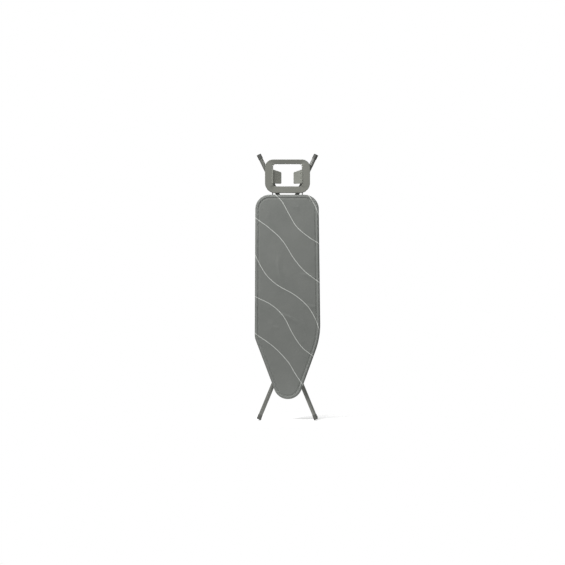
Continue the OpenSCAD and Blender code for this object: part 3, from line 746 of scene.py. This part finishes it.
def cap_profile():
    """(radius, distance along the leg past its end) from the cap's lip to the middle of its end."""
    out = [(12.02, -29.8), (12.4, -30.0), (12.8, -29.8), (13.1, -29.2), (13.35, -27.5), (CAP_RADIUS, -25.5)]
    out += [(CAP_RADIUS, -21.0), (CAP_RADIUS, -17.6)]
    out += [(radius, groove + along) for groove in GROOVES for radius, along in GROOVE]
    out += [(CAP_RADIUS, -4.0)]
    out += [(CAP_RADIUS - CAP_ROUNDING + CAP_ROUNDING * c, CAP_ROUNDING * s - CAP_ROUNDING)
            for s, c in quarter(6)]
    return out + [(8.0, 0.0), (7.6, -0.5), (3.0, -0.5), (0.0, -0.5)]


def build_foot(name, pair, side):
    """Rubber cap turned about the splayed tube: a lip, a barrel, three grip grooves and a rounded end."""
    profile = cap_profile()
    splay = math.radians(pair["splay"])
    axis = Vector((side * math.sin(splay), 0, pair["up"] * math.cos(splay)))
    across = Vector((0, 1, 0))
    other = axis.cross(across)
    end = Vector((side * pair["x"] * MM, FRONT + LEG_DEPTH * MM, pair["z"] * MM))
    vertices = []
    for radius, length in profile[:-1]:
        for i in range(CAP_POINTS):
            a = TURN * i / CAP_POINTS
            around = across * math.cos(a) + other * math.sin(a)
            vertices.append(end + (axis * length + around * radius) * MM)
    faces = ring_faces(len(profile) - 1, CAP_POINTS)
    tip = len(vertices)
    vertices.append(end + axis * profile[-1][1] * MM)
    last = tip - CAP_POINTS
    faces += [(last + i, last + (i + 1) % CAP_POINTS, tip) for i in range(CAP_POINTS)]
    obj = mesh_object(name, vertices, faces)
    tidy_normals(obj)
    return obj


# ---- Materials -------------------------------------------------------------------------------------

THREAD = 0.0009             # metres from one thread of the cloth to the next
LINE_CORE = 0.0009          # half width in metres of a printed wave,
LINE_EDGE = 0.0013          # and of it with its soft edge
LINE_COLOUR = (0.74, 0.76, 0.72)
LINE_INK = 0.94             # how well the ink covers
# Painted highlight along the edge bead's crest: its lighter colour, and the most of it that is mixed in
CREST_HIGHLIGHT_COLOUR = (0.27, 0.28, 0.27)
CREST_HIGHLIGHT_SHARE = 0.6


def new_material(name):
    material = bpy.data.materials.new(name)
    material.use_nodes = True
    nodes = material.node_tree.nodes
    return material, nodes, material.node_tree.links, nodes["Principled BSDF"]


def add_node(nodes, kind, settings):
    """A node with the given socket values, and properties where it has no such socket."""
    node = nodes.new(kind)
    for key, value in settings.items():
        if key in node.inputs:
            node.inputs[key].default_value = value
        else:
            setattr(node, key, value)
    return node


def set_inputs(shader, settings):
    for key, value in settings.items():
        shader.inputs[key].default_value = value


def math_node(nodes, links, operation, first, second=None):
    node = nodes.new("ShaderNodeMath")
    node.operation = operation
    for socket, value in zip(node.inputs, (first, second)):
        if value is None:
            continue
        if isinstance(value, (int, float)):
            socket.default_value = value
        else:
            links.new(value, socket)
    return node.outputs[0]


def map_range(nodes, links, source, to_low, to_high, settings=()):
    node = add_node(nodes, "ShaderNodeMapRange", {"To Min": to_low, "To Max": to_high, **dict(settings)})
    links.new(source, node.inputs["Value"])
    return node.outputs[0]


def colour_ramp(nodes, links, source, low, high, spread=0.2):
    """One colour up to spread below a half, another from spread above it."""
    ramp = nodes.new("ShaderNodeValToRGB")
    for element, stop, colour in zip(ramp.color_ramp.elements, (0.5 - spread, 0.5 + spread), (low, high)):
        element.position = stop
        element.color = (*colour, 1)
    links.new(source, ramp.inputs[0])
    return ramp.outputs[0]


def mix_colour(nodes, links, factor, first, second):
    mix = nodes.new("ShaderNodeMix")
    mix.data_type = "RGBA"
    for socket, value in ((mix.inputs[0], factor), (mix.inputs[6], first), (mix.inputs[7], second)):
        if isinstance(value, (int, float)):
            socket.default_value = value
        elif isinstance(value, tuple):
            socket.default_value = (*value, 1)
        else:
            links.new(value, socket)
    return mix.outputs[2]


def bump(nodes, links, height, distance, strength, under=None):
    node = add_node(nodes, "ShaderNodeBump", {"Distance": distance, "Strength": strength})
    links.new(height, node.inputs["Height"])
    if under is not None:
        links.new(under, node.inputs["Normal"])
    return node.outputs[0]


def noise(nodes, links, where, scale, detail, roughness, distortion=0.0):
    settings = {"Scale": scale, "Detail": detail, "Roughness": roughness, "Distortion": distortion}
    node = add_node(nodes, "ShaderNodeTexNoise", settings)
    links.new(where, node.inputs["Vector"])
    return node.outputs[0]


def object_noise(nodes, links, scale, detail, roughness, stretch=None):
    where = nodes.new("ShaderNodeTexCoord").outputs["Object"]
    if stretch:
        mapping = nodes.new("ShaderNodeMapping")
        mapping.inputs["Scale"].default_value = stretch
        links.new(where, mapping.inputs[0])
        where = mapping.outputs[0]
    return noise(nodes, links, where, scale, detail, roughness)


def attribute(nodes, name, output):
    return add_node(nodes, "ShaderNodeAttribute", {"attribute_name": name}).outputs[output]


def tinted(colour, share):
    return tuple(c * share for c in colour)


def cloth_material():
    """Plain woven cotton with the printed waves, and a painted highlight along the edge bead's crest."""
    material, nodes, links, shader = new_material("cover_cotton")

    def calculate(*what):
        return math_node(nodes, links, *what)

    flat = attribute(nodes, "flat_cloth", "Vector")
    split = nodes.new("ShaderNodeSeparateXYZ")
    links.new(flat, split.inputs[0])
    threads = TURN / THREAD
    warp = calculate("SINE", calculate("MULTIPLY", split.outputs[0], threads))
    weft = calculate("SINE", calculate("MULTIPLY", split.outputs[1], threads))
    weave = calculate("MULTIPLY", warp, weft)

    cloud = noise(nodes, links, flat, 7.0, 4.0, 0.55)
    slub = noise(nodes, links, flat, 420.0, 2.0, 0.6)
    base = colour_ramp(nodes, links, cloud, (0.158, 0.166, 0.155), (0.192, 0.199, 0.186))
    fibre = colour_ramp(nodes, links, slub, (0.145, 0.153, 0.144), (0.213, 0.220, 0.207))
    base = mix_colour(nodes, links, 0.45, base, fibre)
    # Painted highlight: the crest band is mixed towards a lighter colour, mottled by the cloud noise
    painted_highlight = calculate("MULTIPLY", attribute(nodes, "crest", "Fac"), calculate("MULTIPLY", cloud, CREST_HIGHLIGHT_SHARE))
    base = mix_colour(nodes, links, painted_highlight, base, CREST_HIGHLIGHT_COLOUR)

    wave = attribute(nodes, "wave", "Fac")
    off = calculate("ABSOLUTE", calculate("SUBTRACT", wave, calculate("ROUND", wave)))
    ragged = calculate("MULTIPLY", calculate("SUBTRACT", slub, 0.5), 0.0006)
    off = calculate("ADD", calculate("MULTIPLY", off, WAVE_REACH), ragged)
    ink = map_range(nodes, links, off, LINE_INK, 0.0, {"From Min": LINE_CORE, "From Max": LINE_EDGE})
    links.new(mix_colour(nodes, links, ink, base, LINE_COLOUR), shader.inputs["Base Color"])

    links.new(map_range(nodes, links, slub, 0.82, 0.95), shader.inputs["Roughness"])
    set_inputs(shader, {"Sheen Weight": 0.04, "Sheen Roughness": 0.45, "Specular IOR Level": 0.25})
    crease = noise(nodes, links, flat, 26.0, 5.0, 0.6, 0.8)
    soft = bump(nodes, links, crease, 0.0022, 0.6)
    links.new(bump(nodes, links, weave, 0.00012, 0.7, soft), shader.inputs["Normal"])
    return material


def felt_material():
    material, nodes, links, shader = new_material("felt")
    fibres = object_noise(nodes, links, 900, 4, 0.7)
    colour = colour_ramp(nodes, links, fibres, (0.50, 0.48, 0.42), (0.74, 0.72, 0.65))
    links.new(colour, shader.inputs["Base Color"])
    set_inputs(shader, {"Roughness": 0.96, "Sheen Weight": 0.3})
    links.new(bump(nodes, links, fibres, 0.0008, 0.8), shader.inputs["Normal"])
    return material


def paint_material(name, colour, roughness):
    """Powder coat: a faint orange peel, a fine speckle and slightly uneven gloss."""
    material, nodes, links, shader = new_material(name)
    low, high = tinted(colour, 0.90), tinted(colour, 1.10)
    patch = object_noise(nodes, links, 9, 3, 0.5)
    fine = colour_ramp(nodes, links, object_noise(nodes, links, 1400, 2, 0.5), low, high, 0.15)
    broad = colour_ramp(nodes, links, patch, low, high)
    links.new(mix_colour(nodes, links, 0.5, fine, broad), shader.inputs["Base Color"])
    gloss = map_range(nodes, links, patch, roughness - 0.06, roughness + 0.10)
    links.new(gloss, shader.inputs["Roughness"])
    peel = object_noise(nodes, links, 520, 1, 0.4)
    links.new(bump(nodes, links, peel, 0.00025, 0.5), shader.inputs["Normal"])
    set_inputs(shader, {"Specular IOR Level": 0.5})
    return material


def moulded_material(name, colour, roughness, grain=1100, depth=0.00018):
    """Moulded plastic or rubber with a fine spark-eroded grain."""
    material, nodes, links, shader = new_material(name)
    low, high = tinted(colour, 0.93), tinted(colour, 1.07)
    fine = object_noise(nodes, links, grain, 3, 0.6)
    broad = colour_ramp(nodes, links, object_noise(nodes, links, 6, 2, 0.5), low, high)
    speckle = colour_ramp(nodes, links, fine, low, high)
    links.new(mix_colour(nodes, links, 0.35, broad, speckle), shader.inputs["Base Color"])
    gloss = map_range(nodes, links, fine, roughness - 0.05, roughness + 0.08)
    links.new(gloss, shader.inputs["Roughness"])
    links.new(bump(nodes, links, fine, depth, 0.6), shader.inputs["Normal"])
    set_inputs(shader, {"Specular IOR Level": 0.4})
    return material


def steel_material(name, colour, roughness):
    """Bare or zinc-plated steel with drawn streaks and a faint bloom."""
    material, nodes, links, shader = new_material(name)
    low = tinted(colour, 0.82)
    streak = object_noise(nodes, links, 60, 4, 0.6, (1, 1, 14))
    bloom = object_noise(nodes, links, 22, 3, 0.6)
    streaks = colour_ramp(nodes, links, streak, low, colour)
    cloudy = colour_ramp(nodes, links, bloom, low, colour, 0.15)
    links.new(mix_colour(nodes, links, 0.4, streaks, cloudy), shader.inputs["Base Color"])
    gloss = map_range(nodes, links, bloom, roughness - 0.08, roughness + 0.14)
    links.new(gloss, shader.inputs["Roughness"])
    links.new(bump(nodes, links, streak, 0.0001, 0.4), shader.inputs["Normal"])
    set_inputs(shader, {"Metallic": 1.0})
    return material


MATERIALS = {
    "cover_cloth": cloth_material(),
    "padding": felt_material(),
    "deck_steel": paint_material("deck_powder_coat", (0.150, 0.152, 0.140), 0.5),
    "leg_paint": paint_material("leg_powder_coat", (0.142, 0.145, 0.131), 0.42),
    "zinc_steel": steel_material("zinc_plate", (0.56, 0.57, 0.57), 0.38),
    "bright_steel": steel_material("bright_steel", (0.68, 0.68, 0.67), 0.28),
    "foot_rubber": moulded_material("foot_rubber", (0.085, 0.087, 0.080), 0.6, 1500, 0.0002),
    "black_plastic": moulded_material("black_plastic", (0.030, 0.030, 0.030), 0.45),
    "rest_plastic": moulded_material("rest_plastic", (0.161, 0.164, 0.143), 0.46, 1300, 0.00008),
}
# The wings keep the ring's slot, in a copy of its plastic about a fifth lighter: painted light, standing in
# for the light that the sloping wings catch
WING_PAINTED_LIGHT_PLASTIC = moulded_material("rest_wing_painted_light_plastic", (0.192, 0.196, 0.172), 0.46, 1300, 0.00008)


# ---- Camera, light and stage -----------------------------------------------------------------------

PICTURE_WIDTH = 3.3335      # metres across the picture at the board
LENS, SENSOR = 100.0, 36.0
EYE = (-0.0295, 0.8166)     # where the camera looks, across and above the floor
LIGHT_AIM = (0, 0, 0.8)
# Each light's place, size in metres and power in watts
LIGHTS = {
    "key": ((-2.5, -2.7, 3.9), 1.0, 225),
    "fill": ((0.5, -4.6, 1.3), 1.2, 40),
    "overhead": ((0, -0.5, 4.2), 1.6, 35),
    "back": ((0, 4.0, 2.4), 2.4, 160),
    "side": ((3.0, 1.7, 1.8), 1.6, 36),
}
WHITE = (1, 1, 1, 1)
WORLD_LIGHT = 0.18          # brightness of the white world where the camera doesn't see it
FLOOR_RADIUS = 3
FLOOR_POINTS = 96
FLOOR_FADE = (0.1, 0.6)     # metres from the middle between which the floor fades out


def build_camera():
    camera = bpy.data.objects.new("camera", bpy.data.cameras.new("camera"))
    camera.data.lens = LENS
    camera.data.sensor_width = SENSOR
    distance = PICTURE_WIDTH * LENS / SENSOR
    camera.location = (EYE[0], FRONT - distance, EYE[1])
    camera.rotation_euler = (math.radians(90), 0, 0)
    camera.data.clip_end = 60
    bpy.context.scene.collection.objects.link(camera)
    bpy.context.scene.camera = camera


def area_light(name, position, size, power):
    light = bpy.data.lights.new(name, "AREA")
    light.shape = "DISK"
    light.size = size
    light.energy = power
    lamp = bpy.data.objects.new(name, light)
    lamp.location = position
    lamp.rotation_euler = (Vector(LIGHT_AIM) - Vector(position)).to_track_quat("-Z", "Y").to_euler()
    bpy.context.scene.collection.objects.link(lamp)


def build_floor():
    """White disc that fades out with distance from the board."""
    angles = [TURN * k / FLOOR_POINTS for k in range(FLOOR_POINTS)]
    ring = [(FLOOR_RADIUS * math.cos(a), FLOOR_RADIUS * math.sin(a), 0) for a in angles]
    floor = mesh_object("floor", ring, [tuple(range(FLOOR_POINTS))])
    material, nodes, links, shader = new_material("floor_white")
    set_inputs(shader, {"Base Color": (0.93, 0.93, 0.93, 1), "Roughness": 0.9, "Specular IOR Level": 0.1})
    far = nodes.new("ShaderNodeVectorMath")
    far.operation = "LENGTH"
    links.new(nodes.new("ShaderNodeTexCoord").outputs["Object"], far.inputs[0])
    reach = {"interpolation_type": "SMOOTHERSTEP", "From Min": FLOOR_FADE[0], "From Max": FLOOR_FADE[1]}
    blend = nodes.new("ShaderNodeMixShader")
    links.new(map_range(nodes, links, far.outputs["Value"], 0.0, 1.0, reach), blend.inputs[0])
    links.new(shader.outputs[0], blend.inputs[1])
    links.new(nodes.new("ShaderNodeBsdfTransparent").outputs[0], blend.inputs[2])
    links.new(blend.outputs[0], nodes["Material Output"].inputs[0])
    floor.data.materials.append(material)


def build_world():
    """White behind the board, and a dim white light on it."""
    world = bpy.data.worlds.new("studio")
    world.use_nodes = True
    nodes, links = world.node_tree.nodes, world.node_tree.links
    unseen = nodes["Background"]
    set_inputs(unseen, {"Color": WHITE, "Strength": WORLD_LIGHT})
    seen = add_node(nodes, "ShaderNodeBackground", {"Color": WHITE, "Strength": 1.0})
    mix = nodes.new("ShaderNodeMixShader")
    links.new(nodes.new("ShaderNodeLightPath").outputs["Is Camera Ray"], mix.inputs[0])
    links.new(unseen.outputs[0], mix.inputs[1])
    links.new(seen.outputs[0], mix.inputs[2])
    links.new(mix.outputs[0], nodes["World Output"].inputs[0])
    bpy.context.scene.world = world
    bpy.context.scene.view_settings.view_transform = "Standard"


# ---- Assembly --------------------------------------------------------------------------------------


def place(piece, body, slot, *nodes, look=None):
    """Gives the piece its material and slot, and lets it ride on the body in place of the CAD nodes."""
    piece.data.materials.clear()
    piece.data.materials.append(look or MATERIALS[slot])
    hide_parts(*nodes)
    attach(piece, body)


build_camera()
build_floor()
build_world()
for light, facts in LIGHTS.items():
    area_light(light, *facts)

for part in frame["record"]["subparts"]:
    node = frame["nodes"][part["node"]]
    node.data.materials.clear()
    node.data.materials.append(MATERIALS[part["material_slot"]])

cover, cover_size, cover_area = build_cover()
place(cover, "deck", "cover_cloth", "cover")

padding = build_padding()
place(padding, "deck", "padding", "pad")

place(build_mesh_deck(), "deck", "deck_steel", "deck_panel")
place(build_rest_ring(), "iron_rest", "rest_plastic", "rest_frame")
for side, word in SIDES:
    # The wings wear the lighter copy of the ring's plastic, which is painted light
    place(build_wing(side, word), "iron_rest", "rest_plastic", "rest_wing_" + word, look=WING_PAINTED_LIGHT_PLASTIC)
    place(build_foot("upper_cap_" + word, UPPER, side), "inner_legs", "foot_rubber", "upper_foot_" + word)
    place(build_foot("lower_cap_" + word, LOWER, side), "outer_legs", "foot_rubber", "lower_foot_" + word)
